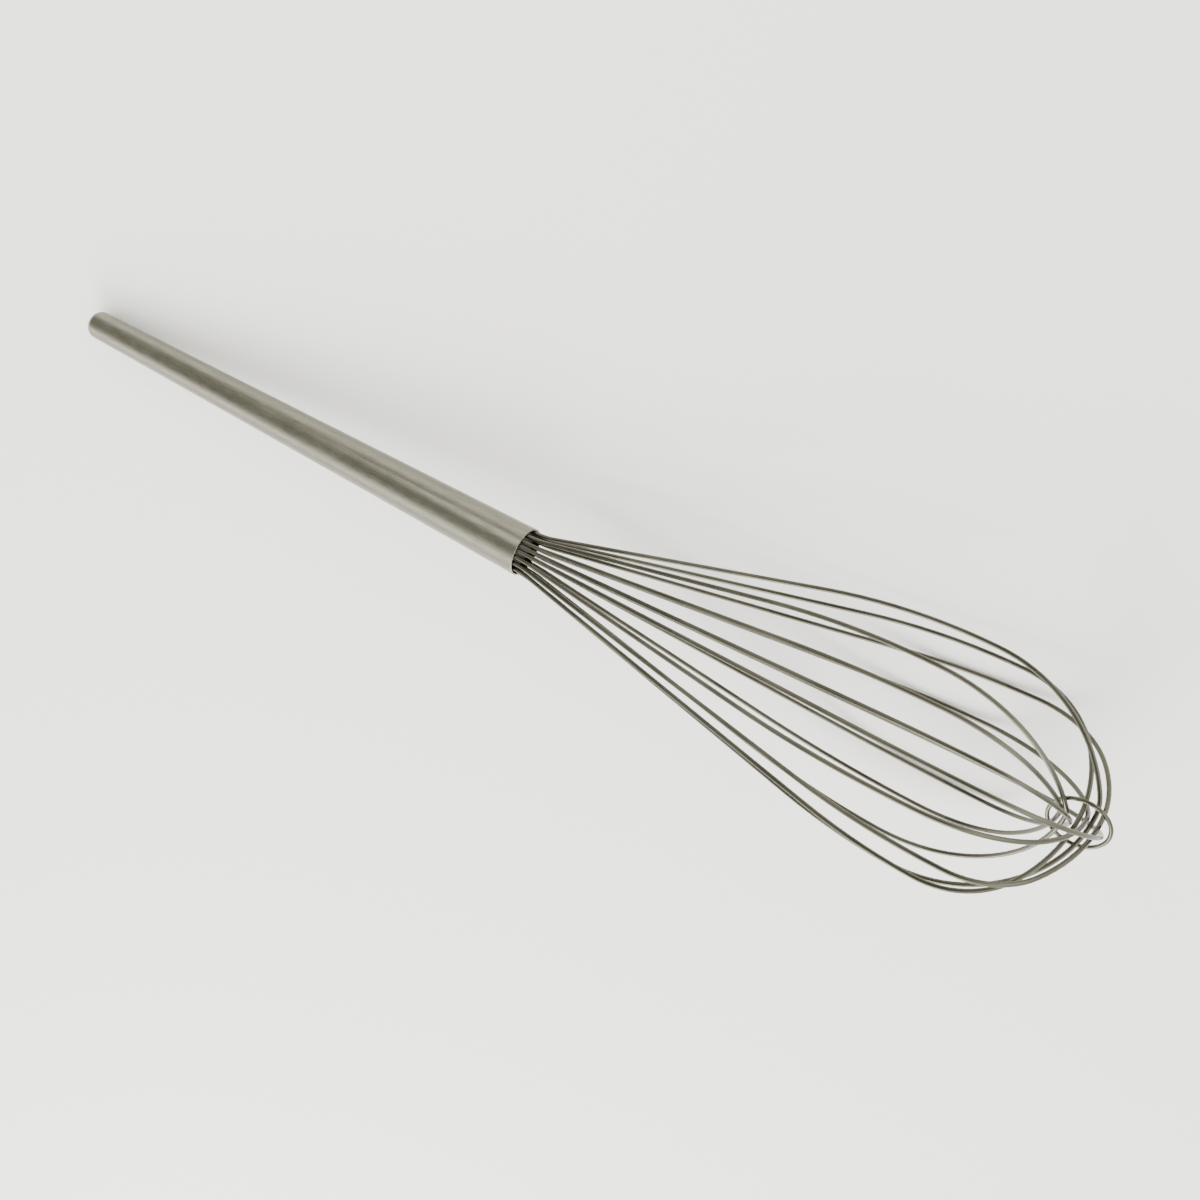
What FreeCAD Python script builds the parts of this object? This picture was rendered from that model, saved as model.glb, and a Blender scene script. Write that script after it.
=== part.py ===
"""Balloon whisk: eight wire loops held in the mouth of a tapered tubular steel handle.

Every piece is first built along the whisk's own axis: the handle runs from the centre of its
mouth towards -X and the wire balloon towards +X. An azimuth is an angle round that axis, from
+Y towards +Z. The finished pieces are then laid down together, so that two legs of the balloon
and the end cap of the handle rest on the plane z = 0. All sizes are in millimetres and degrees.
"""
import FreeCAD, Part
import math
import os

V = FreeCAD.Vector
X_AXIS = V(1, 0, 0)

# ---- handle ------------------------------------------------------------------------------
TUBE_LENGTH = 418.0        # from the mouth to the seam of the end cap
MOUTH_DIAMETER = 35.0      # outside, at the mouth
END_DIAMETER = 22.0        # outside, at the seam of the end cap
TUBE_WALL = 1.2
MOUTH_EDGE = 0.4           # rounding of the mouth's two edges
CAP_DEPTH = 7.5            # how far the end cap stands out of the tube
CAP_EDGE_RADIUS = 5.5      # the rolled edge of the end cap
CAP_WALL = 1.5
CAP_SPIGOT = 8.0           # how far the end cap reaches into the tube
SPIGOT_CLEARANCE = 0.1

# ---- wire balloon ------------------------------------------------------------------------
WIRE_DIAMETER = 3.0
FIRST_REACH = 379.5        # from the mouth to the pole of the innermost loop
STACK_CLEARANCE = 0.7      # between one loop and the next where they cross at the poles
POLE_OFFSET = V(0, -18, -8)    # where the poles of the hand-bent loops meet, off the handle's axis
BELLY_RADIUS = 400.0       # bend of the long side of every leg
SHOULDER_TURN = 60.0       # how far a leg turns from its widest point to the bend at its pole
FLARE_RADIUS = 60.0        # bend of every leg just outside the handle
FLARE_AT = 8.0             # from the mouth to the middle of that bend

# Each loop, from the innermost pole to the outermost: how far its first and second legs stand off
# the axis where they are widest, how far back that place is from the innermost pole, and how far
# its own pole lies to the side of the others. The loops are bent by hand, so no two are alike.
LOOPS = [
    {"first_bulge": 75, "second_bulge": 86, "back": 79.5, "side": 6.5},
    {"first_bulge": 78, "second_bulge": 74, "back": 92.5, "side": 7.5},
    {"first_bulge": 65, "second_bulge": 85, "back": 47.5, "side": 8},
    {"first_bulge": 86, "second_bulge": 68, "back": 54.5, "side": -6.5},
    {"first_bulge": 71, "second_bulge": 91, "back": 65.5, "side": -1.5},
    {"first_bulge": 84, "second_bulge": 65, "back": 72.5, "side": -5},
    {"first_bulge": 82, "second_bulge": 85, "back": 39.5, "side": 3.5},
    {"first_bulge": 65, "second_bulge": 75, "back": 39.5, "side": -6.5},
]

# The wire ends stand in one ring inside the handle. This is each loop's turn in going half-way
# round it, with the share of the spare room that is left before the next one.
RING = [(6, 0.32), (2, 0.12), (1, 0.0), (3, 0.0), (8, 0.05), (5, 0.09), (7, 0.14), (4, 0.28)]
RING_GAP = 0.42            # between neighbouring wire ends where they are closest
CROWDED_AZIMUTH = 90.0     # half-way between the third and fourth loops of the ring, the closest
OPPOSITE_FIRST = (6, 2, 1, 3)  # the loops whose first legs lie on the ring's other half

# ---- what holds the wire ends inside the handle ------------------------------------------
INSERT_LENGTH = 42.0       # how far the wire ends reach into the handle
WIRE_CLEARANCE = 0.08      # between a wire end and what it lies against
SEAL_RECESS = 4.0          # from the mouth to the face of the seal
SEAL_THICKNESS = 10.0
CORE_GAP = 1.0             # between the seal and the core plug behind it

# ---- tie ring round the crossing of the loops --------------------------------------------
TIE_WIRE_DIAMETER = 2.6
TIE_CLEARANCE = 2.5        # between the ring and the stack of poles that it goes round
TIE_AZIMUTH = 47.0         # the direction in which its plane crosses the handle's axis
TIE_SETBACK = 1.0          # its middle from the middle of the stack, back towards the handle,
TIE_SHIFT = 4.0            # along TIE_AZIMUTH,
TIE_SIDE_SHIFT = -4.0      # and square to it

# ---- how the whisk lies ------------------------------------------------------------------
DOWN_AZIMUTH = 108.0       # the side of the balloon that is laid down
ROLL_RANGE = 20.0          # how far it may roll from there onto two of its legs
SAMPLE_STEP = 1.0          # spacing of the points that find where it touches

WIRE_RADIUS = WIRE_DIAMETER / 2
STACK_STEP = WIRE_DIAMETER + STACK_CLEARANCE
STACK_DEPTH = STACK_STEP * (len(LOOPS) - 1) + WIRE_DIAMETER
TIE_DIAMETER = STACK_DEPTH + TIE_WIRE_DIAMETER + 2 * TIE_CLEARANCE
TAPER = (MOUTH_DIAMETER - END_DIAMETER) / 2 / TUBE_LENGTH
TAPER_ANGLE = math.atan(TAPER)


def outer_radius(x):
    """Outside radius of the handle tube at x, which is 0 at the mouth and negative inside."""
    return MOUTH_DIAMETER / 2 + TAPER * x


def inner_radius(x):
    return outer_radius(x) - TUBE_WALL / math.cos(TAPER_ANGLE)


def pitch_radius(x):
    """Radius of the ring of wire centres, which follows the tapered wall."""
    return inner_radius(x) - (WIRE_RADIUS + WIRE_CLEARANCE) / math.cos(TAPER_ANGLE)


def radial(azimuth):
    angle = math.radians(azimuth)
    return V(0, math.cos(angle), math.sin(angle))


def revolve(outline):
    """A solid turned round the X axis from an outline of (x, r) points."""
    points = [V(x, r, 0) for x, r in outline]
    face = Part.Face(Part.makePolygon(points + points[:1]))
    return face.revolve(V(0, 0, 0), X_AXIS, 360)


# ---- handle ------------------------------------------------------------------------------

def handle_tube():
    end = -TUBE_LENGTH
    tube = revolve([(0, inner_radius(0)), (0, outer_radius(0)),
                    (end, outer_radius(end)), (end, inner_radius(end))])
    rim = [edge for edge in tube.Edges
           if len(edge.Vertexes) == 1 and abs(edge.Vertexes[0].X) < MOUTH_EDGE / 10]
    return tube.makeFillet(MOUTH_EDGE, rim)


def arc_through(start, middle, end):
    return Part.Arc(start, middle, end).toShape()


def end_cap():
    """A spun cap: a rolled edge that runs into a flatter crown, with a spigot inside the tube."""
    seam = -TUBE_LENGTH
    spigot_radius = inner_radius(seam) - SPIGOT_CLEARANCE
    bore = spigot_radius - CAP_WALL
    spigot_end = seam + CAP_SPIGOT
    edge_centre = V(seam, END_DIAMETER / 2 - CAP_EDGE_RADIUS, 0)
    crown = ((CAP_DEPTH ** 2 + edge_centre.y ** 2 - CAP_EDGE_RADIUS ** 2)
             / (2 * (CAP_DEPTH - CAP_EDGE_RADIUS)))
    apex = V(seam - CAP_DEPTH, 0, 0)
    crown_centre = apex + X_AXIS * crown
    towards_edge = (edge_centre - crown_centre).normalize()
    meeting = edge_centre + towards_edge * CAP_EDGE_RADIUS
    on_edge = edge_centre + (V(0, 1, 0) + towards_edge).normalize() * CAP_EDGE_RADIUS
    on_crown = crown_centre + (towards_edge - X_AXIS).normalize() * crown
    start = V(seam, END_DIAMETER / 2, 0)
    floor = seam - CAP_DEPTH + CAP_WALL
    corners = [apex, V(floor, 0, 0), V(floor, edge_centre.y, 0), V(seam, bore, 0),
               V(spigot_end, bore, 0), V(spigot_end, spigot_radius, 0),
               V(seam, spigot_radius, 0), start]
    edges = [Part.LineSegment(a, b).toShape() for a, b in zip(corners, corners[1:])]
    edges.append(arc_through(start, on_edge, meeting))
    edges.append(arc_through(meeting, on_crown, apex))
    return Part.Face(Part.Wire(edges)).revolve(V(0, 0, 0), X_AXIS, 360)


# ---- wire loops --------------------------------------------------------------------------

def first_azimuths():
    """The azimuth of each loop's first leg, by loop number counted from 1."""
    closest_radius = pitch_radius(-INSERT_LENGTH)
    close_step = 2 * math.degrees(math.asin((WIRE_DIAMETER + RING_GAP) / 2 / closest_radius))
    spare = 180 - close_step * len(RING)
    azimuth = CROWDED_AZIMUTH - close_step * 3.5 - spare * sum(share for _, share in RING[:3])
    azimuths = {}
    for number, share in RING:
        azimuths[number] = azimuth - 180 if number in OPPOSITE_FIRST else azimuth
        azimuth += close_step + spare * share
    return azimuths


AZIMUTHS = first_azimuths()


def leg_points(reach, widest, bulge, pole_rise, start_radius):
    """One leg in its loop's plane, as (along, away) points and the bends between them.

    A straight run leaves the handle and meets the belly arc, which is level where the leg is
    widest. Two more arcs, the shoulder and the tip, bring the leg square onto the pole.
    """
    run = math.hypot(widest, bulge - BELLY_RADIUS - start_radius)
    slope = (math.atan2(bulge - BELLY_RADIUS - start_radius, widest)
             + math.asin(BELLY_RADIUS / run))
    turn = math.radians(SHOULDER_TURN)
    length = reach - widest
    height = bulge - pole_rise
    determinant = math.sin(turn) * math.cos(turn) - (1 - math.sin(turn)) * (1 - math.cos(turn))
    shoulder = (length * math.cos(turn) - height * (1 - math.sin(turn))) / determinant
    tip = (height * math.sin(turn) - length * (1 - math.cos(turn))) / determinant
    if min(shoulder, tip) < 2 * WIRE_DIAMETER:
        raise ValueError("a loop bends too sharply for its wire")

    def on_belly(angle):
        return (widest - BELLY_RADIUS * math.sin(angle),
                bulge - BELLY_RADIUS * (1 - math.cos(angle)))

    def on_shoulder(angle):
        return (widest + shoulder * math.sin(angle), bulge - shoulder * (1 - math.cos(angle)))

    def on_tip(angle):
        return (reach - tip * (1 - math.sin(angle)), pole_rise + tip * math.cos(angle))

    return {"slope": slope,
            "belly": [on_belly(slope), on_belly(slope / 2), on_belly(0)],
            "shoulder": [on_belly(0), on_shoulder(turn / 2), on_shoulder(turn)],
            "tip": [on_shoulder(turn), on_tip((turn + math.pi / 2) / 2), on_tip(math.pi / 2)]}


def leg_edges(leg, along, outward, end_direction):
    """The edges of one leg, from its end inside the handle to the pole of its loop."""
    corner = X_AXIS * FLARE_AT + end_direction * pitch_radius(FLARE_AT)

    def place(point):
        return X_AXIS * FLARE_AT + along * point[0] + outward * point[1]

    inward_run = (X_AXIS + end_direction * TAPER).normalize()
    outward_run = along * math.cos(leg["slope"]) + outward * math.sin(leg["slope"])
    bend = inward_run.getAngle(outward_run)
    tangent = FLARE_RADIUS * math.tan(bend / 2)
    flare_start = corner - inward_run * tangent
    flare_end = corner + outward_run * tangent
    sagitta = FLARE_RADIUS / math.cos(bend / 2) - FLARE_RADIUS
    flare_middle = corner + (outward_run - inward_run).normalize() * sagitta
    wire_end = X_AXIS * -INSERT_LENGTH + end_direction * pitch_radius(-INSERT_LENGTH)
    return [Part.LineSegment(wire_end, flare_start).toShape(),
            arc_through(flare_start, flare_middle, flare_end),
            Part.LineSegment(flare_end, place(leg["belly"][0])).toShape(),
            arc_through(*[place(p) for p in leg["belly"]]),
            arc_through(*[place(p) for p in leg["shoulder"]]),
            arc_through(*[place(p) for p in leg["tip"]])]


def loop_route(number):
    """The middle line of one loop, counted from 1: two planar legs that meet square at the pole."""
    loop = LOOPS[number - 1]
    reach = FIRST_REACH + STACK_STEP * (number - 1)
    outward = radial(AZIMUTHS[number])
    sideways = X_AXIS.cross(outward)
    rise = POLE_OFFSET.dot(outward)
    side = POLE_OFFSET.dot(sideways) + loop["side"]
    along = (X_AXIS * (reach - FLARE_AT) + sideways * side).normalize()
    plane_reach = math.hypot(reach - FLARE_AT, side)
    start = pitch_radius(FLARE_AT)
    widest = FIRST_REACH - loop["back"] - FLARE_AT
    first = leg_points(plane_reach, widest, loop["first_bulge"], rise, start)
    second = leg_points(plane_reach, widest, loop["second_bulge"], -rise, start)
    first_edges = leg_edges(first, along, outward, outward)
    second_edges = leg_edges(second, along, -outward, -outward)
    return Part.Wire(first_edges + second_edges[::-1])


def round_wire(route, radius):
    """A round wire along a route."""
    first = route.OrderedEdges[0]
    start = first.valueAt(first.FirstParameter)
    heading = first.tangentAt(first.FirstParameter)
    section = Part.Face(Part.Wire([Part.makeCircle(radius, start, heading)]))
    return route.makePipe(section)


# ---- inside the mouth and round the crossing ---------------------------------------------

def disc_inside_ring(back, face):
    """A tapered disc that fills the ring of wire ends from back to face, clear of the wires."""
    inset = WIRE_RADIUS + WIRE_CLEARANCE
    return revolve([(back, 0), (back, pitch_radius(back) - inset),
                    (face, pitch_radius(face) - inset), (face, 0)])


def mouth_seal():
    """The disc of sealing resin inside the ring of wires, a little way inside the mouth."""
    return disc_inside_ring(-SEAL_RECESS - SEAL_THICKNESS, -SEAL_RECESS)


def core_plug():
    """The tapered plug that the wire ends lie round."""
    return disc_inside_ring(-INSERT_LENGTH, -SEAL_RECESS - SEAL_THICKNESS - CORE_GAP)


def tie_ring():
    """A closed ring that passes inside the innermost pole and outside the outermost one."""
    middle = FIRST_REACH + STACK_STEP * (len(LOOPS) - 1) / 2 - TIE_SETBACK
    across = radial(TIE_AZIMUTH)
    aside = X_AXIS.cross(across)
    centre = X_AXIS * middle + POLE_OFFSET + across * TIE_SHIFT + aside * TIE_SIDE_SHIFT
    return Part.makeTorus(TIE_DIAMETER / 2, TIE_WIRE_DIAMETER / 2, centre, aside)


# ---- laying the whisk down ---------------------------------------------------------------

def down_direction(azimuth, pitch):
    return radial(azimuth) * math.cos(pitch) - X_AXIS * math.sin(pitch)


def wires_depth(points, down):
    return max(point.dot(down) for point in points) + WIRE_RADIUS


def handle_depth(down):
    """How far the rolled edge of the end cap reaches along the down direction."""
    ring = END_DIAMETER / 2 - CAP_EDGE_RADIUS
    return down.x * -TUBE_LENGTH + math.hypot(down.y, down.z) * ring + CAP_EDGE_RADIUS


def level_pitch(points, azimuth):
    """The pitch at which the end cap and the balloon reach equally far down."""
    low, high = math.radians(0), math.radians(20)
    for _ in range(40):
        pitch = (low + high) / 2
        down = down_direction(azimuth, pitch)
        if wires_depth(points, down) > handle_depth(down):
            low = pitch
        else:
            high = pitch
    return (low + high) / 2


def resting_azimuth(points):
    """The azimuth near DOWN_AZIMUTH at which one leg on each side of it touches the ground."""
    across = radial(DOWN_AZIMUTH + 90)
    ahead = [point for point in points if point.dot(across) > 0]
    behind = [point for point in points if point.dot(across) <= 0]
    low, high = DOWN_AZIMUTH - ROLL_RANGE, DOWN_AZIMUTH + ROLL_RANGE
    for _ in range(40):
        azimuth = (low + high) / 2
        down = down_direction(azimuth, level_pitch(points, azimuth))
        if wires_depth(ahead, down) > wires_depth(behind, down):
            high = azimuth
        else:
            low = azimuth
    return (low + high) / 2


def laid_down(pieces, routes):
    """Turn all the pieces together onto the ground, centred over the origin."""
    points = []
    for route in routes:
        points.extend(route.discretize(Distance=SAMPLE_STEP))
    azimuth = resting_azimuth(points)
    down = down_direction(azimuth, level_pitch(points, azimuth))
    up = down * -1
    ahead = (X_AXIS - up * X_AXIS.dot(up)).normalize()
    left = up.cross(ahead)
    turn = FreeCAD.Matrix(ahead.x, ahead.y, ahead.z, 0,
                          left.x, left.y, left.z, 0,
                          up.x, up.y, up.z, 0,
                          0, 0, 0, 1)
    turned = {name: shape.copy() for name, shape in pieces.items()}
    for shape in turned.values():
        shape.Placement = FreeCAD.Placement(turn).multiply(shape.Placement)
    box = FreeCAD.BoundBox()
    for shape in turned.values():
        box.add(shape.optimalBoundingBox(False, False))
    shift = V(-box.Center.x, -box.Center.y, wires_depth(points, down))
    for shape in turned.values():
        shape.translate(shift)
    return turned


def main():
    routes = [loop_route(number) for number in range(1, len(LOOPS) + 1)]
    pieces = {"handle_tube": handle_tube(), "end_cap": end_cap(), "mouth_seal": mouth_seal(),
              "core_plug": core_plug(), "tie_ring": tie_ring()}
    for number, route in enumerate(routes, start=1):
        pieces["wire_loop_%d" % number] = round_wire(route, WIRE_RADIUS)
    os.makedirs("parts", exist_ok=True)
    for name, shape in laid_down(pieces, routes).items():
        shape.exportStep(os.path.join("parts", name + ".step"))


main()
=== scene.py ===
import math

import bpy
from bpy.props import FloatProperty, FloatVectorProperty, PointerProperty, StringProperty
from mathutils import Euler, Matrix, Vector


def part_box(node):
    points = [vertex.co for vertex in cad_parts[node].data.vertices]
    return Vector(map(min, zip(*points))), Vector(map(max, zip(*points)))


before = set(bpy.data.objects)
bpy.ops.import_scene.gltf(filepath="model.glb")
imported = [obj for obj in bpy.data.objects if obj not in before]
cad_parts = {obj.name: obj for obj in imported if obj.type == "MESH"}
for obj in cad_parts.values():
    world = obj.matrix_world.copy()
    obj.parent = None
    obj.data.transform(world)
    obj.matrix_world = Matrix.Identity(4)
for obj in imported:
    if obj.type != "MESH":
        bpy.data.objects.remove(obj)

bl_info = {
    "name": "Balloon Whisk",
    "version": (1, 0, 0),
    "blender": (4, 5, 0),
    "location": "3D View > Sidebar > Whisk",
    "description": "Finishes the handle, the wires and the dark mouth of a balloon whisk",
    "category": "Object",
}

MM = 0.001
WIRES = ["wire_loop_%d" % number for number in range(1, 9)]
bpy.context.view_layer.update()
HANDLE_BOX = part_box("handle_tube")

# The handle's steel. A roughness pair is for its brightest and its dullest places.
STREAK_LENGTH = 60 * MM      # of the polishing belt's marks
STREAK_WIDTH = 0.9 * MM      # several times the real grit's, which would be too fine to show
STREAK_DEPTH = 0.05 * MM
STREAK_BUMP = 0.12
SCUFF_SIZE = 30 * MM
STEEL_ROUGHNESS = (0.24, 0.38)

# The wire.
TARNISH_SIZE = 45 * MM
DIE_MARK_SIZE = 0.8 * MM     # coarser than the real marks, which would be too fine to show
DIE_MARK_DEPTH = 0.03 * MM
DIE_MARK_BUMP = 0.08
WIRE_ROUGHNESS = (0.22, 0.36)

# The resin.
PIT_SIZE = 1.5 * MM
PIT_DEPTH = 0.2 * MM
PIT_BUMP = 0.3
RESIN_ROUGHNESS = 0.7

# The paper of the floor.
PAPER_MOTTLE = 15 * MM       # slow unevenness of the sheet, since its fibres are too fine to show
PAPER_DEPTH = 0.1 * MM
PAPER_BUMP = 0.02
PAPER_ROUGHNESS = 0.9

# Where the lights aim, and how light the surround is at each cosine of the angle from its dim
# patch: half light at right angles and beyond, full light at 70 degrees, dark within 37.
KEY_AIM = (0, 0, 0)
SIDE_AIM = (-0.1, 0, 0)
SURROUND_LIGHT = [(0.0, (0.5, 0.5, 0.49, 1)), (0.35, (1.0, 1.0, 0.98, 1)),
                  (0.6, (0.4, 0.4, 0.39, 1)), (0.8, (0.13, 0.13, 0.12, 1))]


# ---- helpers -----------------------------------------------------------------------------

def linear(hex_colour):
    """A linear RGBA colour from an sRGB hex value such as 8f8a7c."""
    channels = [int(hex_colour[at:at + 2], 16) / 255 for at in (0, 2, 4)]
    return [c / 12.92 if c <= 0.04045 else ((c + 0.055) / 1.055) ** 2.4 for c in channels] + [1.0]


def add_node(tree, kind, inputs=None, stops=(), **settings):
    """Add a node, set its settings and any ramp's (position, colour) stops, and set or link
    each of its inputs."""
    node = tree.nodes.new(kind)
    for name, value in settings.items():
        setattr(node, name, value)
    for number, (position, colour) in enumerate(stops):
        elements = node.color_ramp.elements
        element = elements[number] if number < len(elements) else elements.new(position)
        element.position = position
        element.color = colour
    for name, value in (inputs or {}).items():
        if isinstance(value, bpy.types.NodeSocket):
            tree.links.new(value, node.inputs[name])
        else:
            node.inputs[name].default_value = value
    return node


def new_material(name):
    """An empty node material, and its tree."""
    material = bpy.data.materials.new(name)
    material.use_nodes = True
    material.node_tree.nodes.clear()
    return material, material.node_tree


def dress(names, material):
    """Give CAD nodes a material in place of the one they came with."""
    for name in names:
        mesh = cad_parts[name].data
        mesh.materials.clear()
        mesh.materials.append(material)


# ---- materials ---------------------------------------------------------------------------

def satin_stainless_steel(colours):
    """Stainless steel tube, belt-polished along its length: long soft streaks and faint scuffs."""
    material, tree = new_material("satin stainless steel tube")
    place = add_node(tree, "ShaderNodeTexCoord")
    # Half the slope of the box's diagonal is near the tube's own. The mapping turns what it has
    # already scaled, so the streaks still run along x, about 5 degrees off the tube.
    low, high = HANDLE_BOX
    pitch = math.atan2(high[2] - low[2], high[0] - low[0]) / 2
    along = add_node(tree, "ShaderNodeMapping", {"Vector": place.outputs["Object"],
                                                 "Rotation": (0, pitch, 0),
                                                 "Scale": (1 / STREAK_LENGTH, 1 / STREAK_WIDTH,
                                                           1 / STREAK_WIDTH)})
    lines = add_node(tree, "ShaderNodeTexNoise", {"Vector": along.outputs["Vector"], "Scale": 1.0,
                                                  "Detail": 4.0, "Roughness": 0.6})
    scuffs = add_node(tree, "ShaderNodeTexNoise", {"Vector": place.outputs["Object"],
                                                   "Scale": 1 / SCUFF_SIZE, "Detail": 5.0,
                                                   "Roughness": 0.7})
    colour = add_node(tree, "ShaderNodeValToRGB", {"Fac": lines.outputs["Fac"]},
                      stops=[(0.3, linear(colours.steel_shade)), (0.7, linear(colours.steel))])
    bright, dull = STEEL_ROUGHNESS
    shine = add_node(tree, "ShaderNodeMapRange", {"Value": scuffs.outputs["Fac"],
                                                  "From Min": 0.3, "From Max": 0.7,
                                                  "To Min": bright, "To Max": dull})
    bump = add_node(tree, "ShaderNodeBump", {"Height": lines.outputs["Fac"],
                                             "Strength": STREAK_BUMP, "Distance": STREAK_DEPTH})
    shader = add_node(tree, "ShaderNodeBsdfPrincipled",
                      {"Base Color": colour.outputs["Color"], "Metallic": 1.0,
                       "Roughness": shine.outputs["Result"], "Normal": bump.outputs["Normal"]})
    add_node(tree, "ShaderNodeOutputMaterial", {"Surface": shader.outputs["BSDF"]})
    return material


def drawn_spring_wire(colours):
    """Stainless spring wire, drawn through a die: half-bright, with faint tarnish along it."""
    material, tree = new_material("drawn stainless spring wire")
    place = add_node(tree, "ShaderNodeTexCoord")
    tarnish = add_node(tree, "ShaderNodeTexNoise", {"Vector": place.outputs["Object"],
                                                    "Scale": 1 / TARNISH_SIZE, "Detail": 3.0})
    drawing = add_node(tree, "ShaderNodeTexNoise", {"Vector": place.outputs["Object"],
                                                    "Scale": 1 / DIE_MARK_SIZE, "Detail": 3.0})
    colour = add_node(tree, "ShaderNodeValToRGB", {"Fac": tarnish.outputs["Fac"]},
                      stops=[(0.35, linear(colours.wire_shade)), (0.65, linear(colours.wire))])
    bright, dull = WIRE_ROUGHNESS
    shine = add_node(tree, "ShaderNodeMapRange", {"Value": tarnish.outputs["Fac"],
                                                  "From Min": 0.3, "From Max": 0.7,
                                                  "To Min": bright, "To Max": dull})
    bump = add_node(tree, "ShaderNodeBump", {"Height": drawing.outputs["Fac"],
                                             "Strength": DIE_MARK_BUMP,
                                             "Distance": DIE_MARK_DEPTH})
    shader = add_node(tree, "ShaderNodeBsdfPrincipled",
                      {"Base Color": colour.outputs["Color"], "Metallic": 1.0,
                       "Roughness": shine.outputs["Result"], "Normal": bump.outputs["Normal"]})
    add_node(tree, "ShaderNodeOutputMaterial", {"Surface": shader.outputs["BSDF"]})
    return material


def cast_sealing_resin(colours):
    """Epoxy resin, poured and set: a dark matt face with small pits, deep in the mouth. Its pits
    are painted darker, as painted shade.
    """
    material, tree = new_material("cast sealing resin")
    place = add_node(tree, "ShaderNodeTexCoord")
    pits = add_node(tree, "ShaderNodeTexNoise", {"Vector": place.outputs["Object"],
                                                 "Scale": 1 / PIT_SIZE, "Detail": 3.0})
    # The pits, where the bump is lowest, are painted darker: painted shade in the pits.
    colour = add_node(tree, "ShaderNodeValToRGB", {"Fac": pits.outputs["Fac"]},
                      stops=[(0.35, linear(colours.resin_pit_painted_shade)), (0.7, linear(colours.resin))])
    bump = add_node(tree, "ShaderNodeBump", {"Height": pits.outputs["Fac"],
                                             "Strength": PIT_BUMP, "Distance": PIT_DEPTH})
    shader = add_node(tree, "ShaderNodeBsdfPrincipled",
                      {"Base Color": colour.outputs["Color"], "Roughness": RESIN_ROUGHNESS,
                       "Normal": bump.outputs["Normal"]})
    add_node(tree, "ShaderNodeOutputMaterial", {"Surface": shader.outputs["BSDF"]})
    return material


# ---- settings ----------------------------------------------------------------------------

class WhiskColours(bpy.types.PropertyGroup):
    """Colours of the whisk's finishes and the painted shade of the resin's pits, as sRGB hex
    values.
    """
    steel: StringProperty(name="Steel", description="Light of the handle's steel",
                          default="807e70")
    steel_shade: StringProperty(name="Steel shade", description="Dark of the handle's steel",
                                default="6c6a5f")
    wire: StringProperty(name="Wire", description="Light of the wire", default="58564b")
    wire_shade: StringProperty(name="Wire shade", description="Dark of the wire",
                               default="49473d")
    resin: StringProperty(name="Resin", description="Light of the resin in the mouth",
                          default="24221d")
    # Painted shade: the dark colour that the resin's pits are painted with.
    resin_pit_painted_shade: StringProperty(name="Resin shade", description="Dark of the resin's pits",
                                default="12110e")
    floor: StringProperty(name="Floor", description="Plain pale floor", default="fbfaf5")


class WhiskStage(bpy.types.PropertyGroup):
    """The floor, the lights, the surround and the camera."""
    floor_size: FloatProperty(name="Floor size", description="Length of the floor's side",
                              default=6.0, unit="LENGTH")
    camera_place: FloatVectorProperty(name="Camera place", description="Where the camera stands",
                                      default=(0.306, 0.381, 0.805), subtype="TRANSLATION")
    camera_turn: FloatVectorProperty(name="Camera turn", description="Which way the camera looks",
                                     default=(math.radians(-20.1), math.radians(24.5),
                                              math.radians(17.5)), subtype="EULER")
    camera_lens: FloatProperty(name="Lens", description="Focal length on a 36 mm sensor, in mm",
                               default=39.3)
    key_power: FloatProperty(name="Key light", description="Power of the large soft light",
                             default=60.0, subtype="POWER")
    key_size: FloatProperty(name="Key light size", description="Side of the large soft light",
                            default=1.2, unit="LENGTH")
    key_place: FloatVectorProperty(name="Key light place", description="Where it hangs",
                                   default=(0.4, -1.8, 1.1), subtype="TRANSLATION")
    side_power: FloatProperty(name="Side light", description="Power of the smaller light",
                              default=5.0, subtype="POWER")
    side_size: FloatProperty(name="Side light size", description="Side of the smaller light",
                             default=0.7, unit="LENGTH")
    side_place: FloatVectorProperty(name="Side light place", description="Where it hangs",
                                    default=(-0.6, 1.1, 0.9), subtype="TRANSLATION")
    surround: FloatProperty(name="Surround", description="Strength of the light all round",
                            default=5.2)
    dim_patch: FloatVectorProperty(name="Dim patch", subtype="DIRECTION",
                                   description="Where the surround is dimmest",
                                   default=(-0.40, 0.50, 0.77))


# ---- operators ---------------------------------------------------------------------------

class WHISK_OT_handle(bpy.types.Operator):
    """Finish the handle's tube and its end cap in satin steel"""
    bl_idname = "whisk.handle"
    bl_label = "Finish the handle"

    def execute(self, context):
        dress(["handle_tube", "end_cap"], satin_stainless_steel(context.scene.whisk_colours))
        return {"FINISHED"}


class WHISK_OT_wires(bpy.types.Operator):
    """Finish the loops of the balloon and the ring round their crossing in drawn wire"""
    bl_idname = "whisk.wires"
    bl_label = "Finish the wires"

    def execute(self, context):
        dress(WIRES + ["tie_ring"], drawn_spring_wire(context.scene.whisk_colours))
        return {"FINISHED"}


class WHISK_OT_mouth(bpy.types.Operator):
    """Finish the resin and the plug inside the handle's mouth"""
    bl_idname = "whisk.mouth"
    bl_label = "Finish the mouth"

    def execute(self, context):
        dress(["mouth_seal", "core_plug"], cast_sealing_resin(context.scene.whisk_colours))
        return {"FINISHED"}


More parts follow.
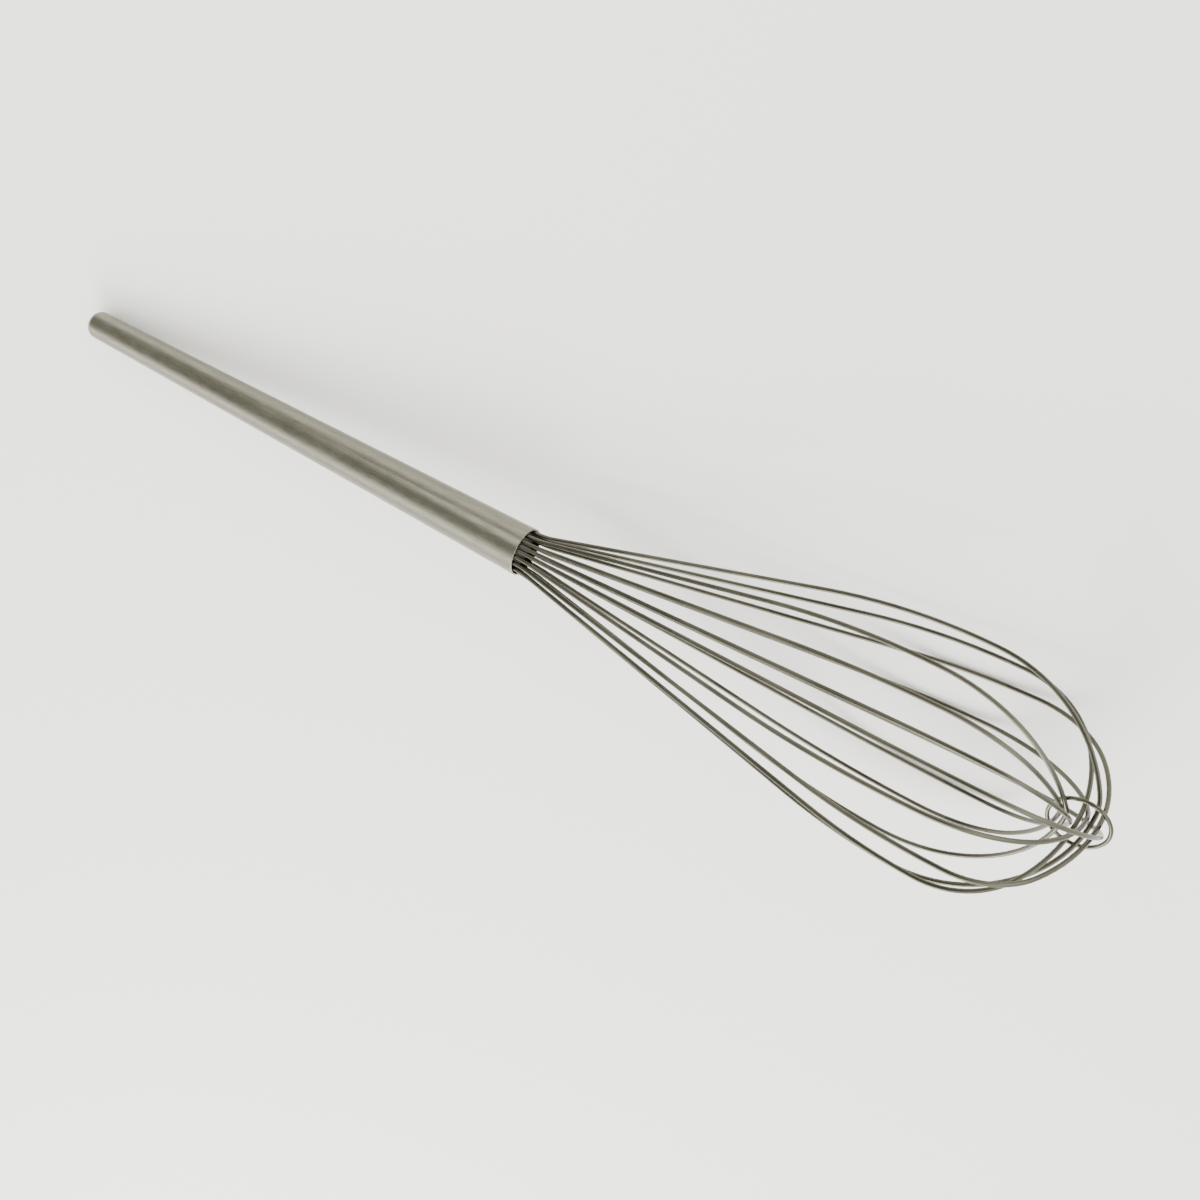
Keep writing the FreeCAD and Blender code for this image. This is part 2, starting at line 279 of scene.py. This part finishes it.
class WHISK_OT_stage(bpy.types.Operator):
    """Lay a plain pale floor, and set soft lights and the camera"""
    bl_idname = "whisk.stage"
    bl_label = "Set the stage"

    def execute(self, context):
        stage = context.scene.whisk_stage
        self.add_floor(context, stage)
        self.add_camera(context, stage)
        self.add_light(context, "key", stage.key_power, stage.key_size, stage.key_place, KEY_AIM)
        self.add_light(context, "side", stage.side_power, stage.side_size, stage.side_place,
                       SIDE_AIM)
        self.light_surround(context, stage)
        return {"FINISHED"}

    def add_floor(self, context, stage):
        half = stage.floor_size / 2
        mesh = bpy.data.meshes.new("floor")
        corners = [(-half, -half, 0), (half, -half, 0), (half, half, 0), (-half, half, 0)]
        mesh.from_pydata(corners, [], [(0, 1, 2, 3)])
        floor = bpy.data.objects.new("floor", mesh)
        context.scene.collection.objects.link(floor)
        material, tree = new_material("matt white paper")
        # This noise runs from 0 to 1 across the floor, so its scale counts the mottles there.
        grain = add_node(tree, "ShaderNodeTexNoise",
                         {"Scale": stage.floor_size / PAPER_MOTTLE, "Detail": 2.0})
        bump = add_node(tree, "ShaderNodeBump", {"Height": grain.outputs["Fac"],
                                                 "Strength": PAPER_BUMP, "Distance": PAPER_DEPTH})
        shader = add_node(tree, "ShaderNodeBsdfPrincipled",
                          {"Base Color": linear(context.scene.whisk_colours.floor),
                           "Roughness": PAPER_ROUGHNESS, "Normal": bump.outputs["Normal"]})
        add_node(tree, "ShaderNodeOutputMaterial", {"Surface": shader.outputs["BSDF"]})
        mesh.materials.append(material)

    def add_camera(self, context, stage):
        data = bpy.data.cameras.new("camera")
        data.lens = stage.camera_lens
        camera = bpy.data.objects.new("camera", data)
        camera.location = stage.camera_place
        camera.rotation_euler = Euler(stage.camera_turn)
        context.scene.collection.objects.link(camera)
        context.scene.camera = camera

    def add_light(self, context, name, power, size, place, target):
        data = bpy.data.lights.new(name, "AREA")
        data.energy = power
        data.size = size
        light = bpy.data.objects.new(name, data)
        light.location = place
        aim = Vector(target) - Vector(place)
        light.rotation_euler = aim.to_track_quat("-Z", "Y").to_euler()
        context.scene.collection.objects.link(light)

    def light_surround(self, context, stage):
        world = bpy.data.worlds.new("surround")
        world.use_nodes = True
        tree = world.node_tree
        tree.nodes.clear()
        place = add_node(tree, "ShaderNodeTexCoord")
        towards = add_node(tree, "ShaderNodeVectorMath", {0: place.outputs["Generated"],
                                                          1: Vector(stage.dim_patch)},
                           operation="DOT_PRODUCT")
        fade = add_node(tree, "ShaderNodeValToRGB", {"Fac": towards.outputs["Value"]},
                        stops=SURROUND_LIGHT)
        background = add_node(tree, "ShaderNodeBackground", {"Color": fade.outputs["Color"],
                                                             "Strength": stage.surround})
        add_node(tree, "ShaderNodeOutputWorld", {"Surface": background.outputs["Background"]})
        context.scene.world = world


class WHISK_PT_panel(bpy.types.Panel):
    """Lists the steps that finish the whisk"""
    bl_idname = "WHISK_PT_panel"
    bl_label = "Balloon whisk"
    bl_space_type = "VIEW_3D"
    bl_region_type = "UI"
    bl_category = "Whisk"

    def draw(self, context):
        for operator in (WHISK_OT_handle, WHISK_OT_wires, WHISK_OT_mouth, WHISK_OT_stage):
            self.layout.operator(operator.bl_idname)
        for settings in (context.scene.whisk_colours, context.scene.whisk_stage):
            for name in settings.__annotations__:
                self.layout.prop(settings, name)


CLASSES = (WhiskColours, WhiskStage, WHISK_OT_handle, WHISK_OT_wires, WHISK_OT_mouth,
           WHISK_OT_stage, WHISK_PT_panel)


def register():
    for item in CLASSES:
        bpy.utils.register_class(item)
    bpy.types.Scene.whisk_colours = PointerProperty(type=WhiskColours)
    bpy.types.Scene.whisk_stage = PointerProperty(type=WhiskStage)


def unregister():
    del bpy.types.Scene.whisk_stage
    del bpy.types.Scene.whisk_colours
    for item in reversed(CLASSES):
        bpy.utils.unregister_class(item)


def main():
    """Finish the whisk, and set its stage."""
    register()
    bpy.ops.whisk.handle()
    bpy.ops.whisk.wires()
    bpy.ops.whisk.mouth()
    bpy.ops.whisk.stage()


if __name__ == "__main__":
    main()
